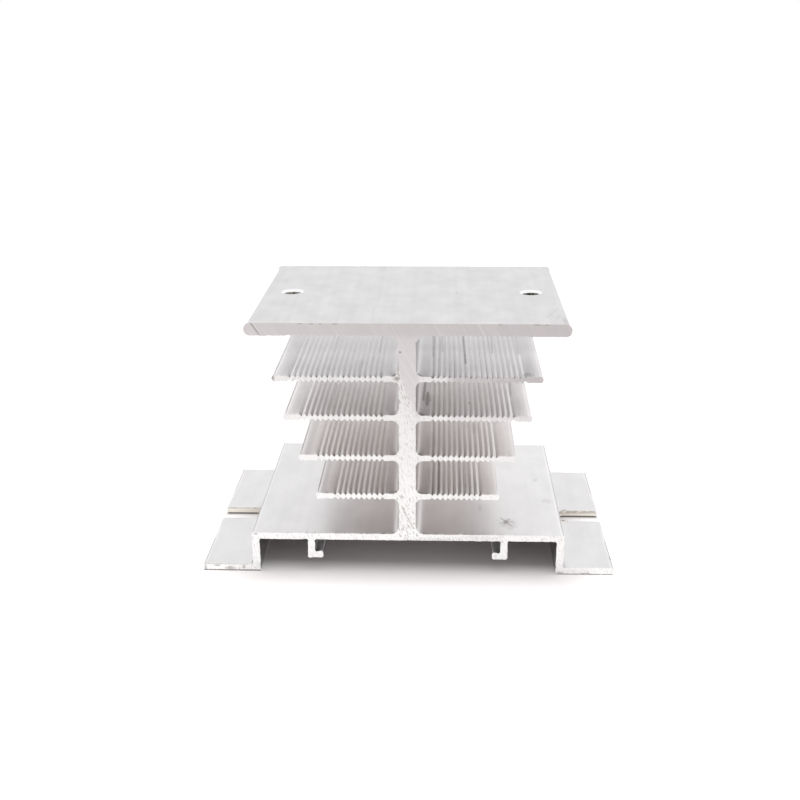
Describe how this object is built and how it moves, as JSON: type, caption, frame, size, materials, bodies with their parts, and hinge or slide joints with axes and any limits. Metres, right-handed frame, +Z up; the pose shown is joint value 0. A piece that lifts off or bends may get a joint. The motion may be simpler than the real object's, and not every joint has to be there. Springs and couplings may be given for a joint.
{
  "type": "relay heat sink",
  "caption": "Extruded aluminium heat sink for a solid-state relay: flat relay pad on a web with grooved fins, and a base with slotted feet and hooks for a 35 mm rail.",
  "frame": {"origin": "middle of the footprint, on the plane of the feet's undersides", "axes": "+X across the feet from the left one to the right one as seen from the front, +Y along the extrusion from the front cut to the rear cut, +Z up from the feet to the relay pad"},
  "size_m": [0.08, 0.05, 0.05],
  "materials": {
    "aluminium": "bare mill finish along the extrusion, saw-cut ends with fine slanting marks"
  },
  "bodies": {
    "root": {"heat_sink": "aluminium"}
  },
  "joints": []
}
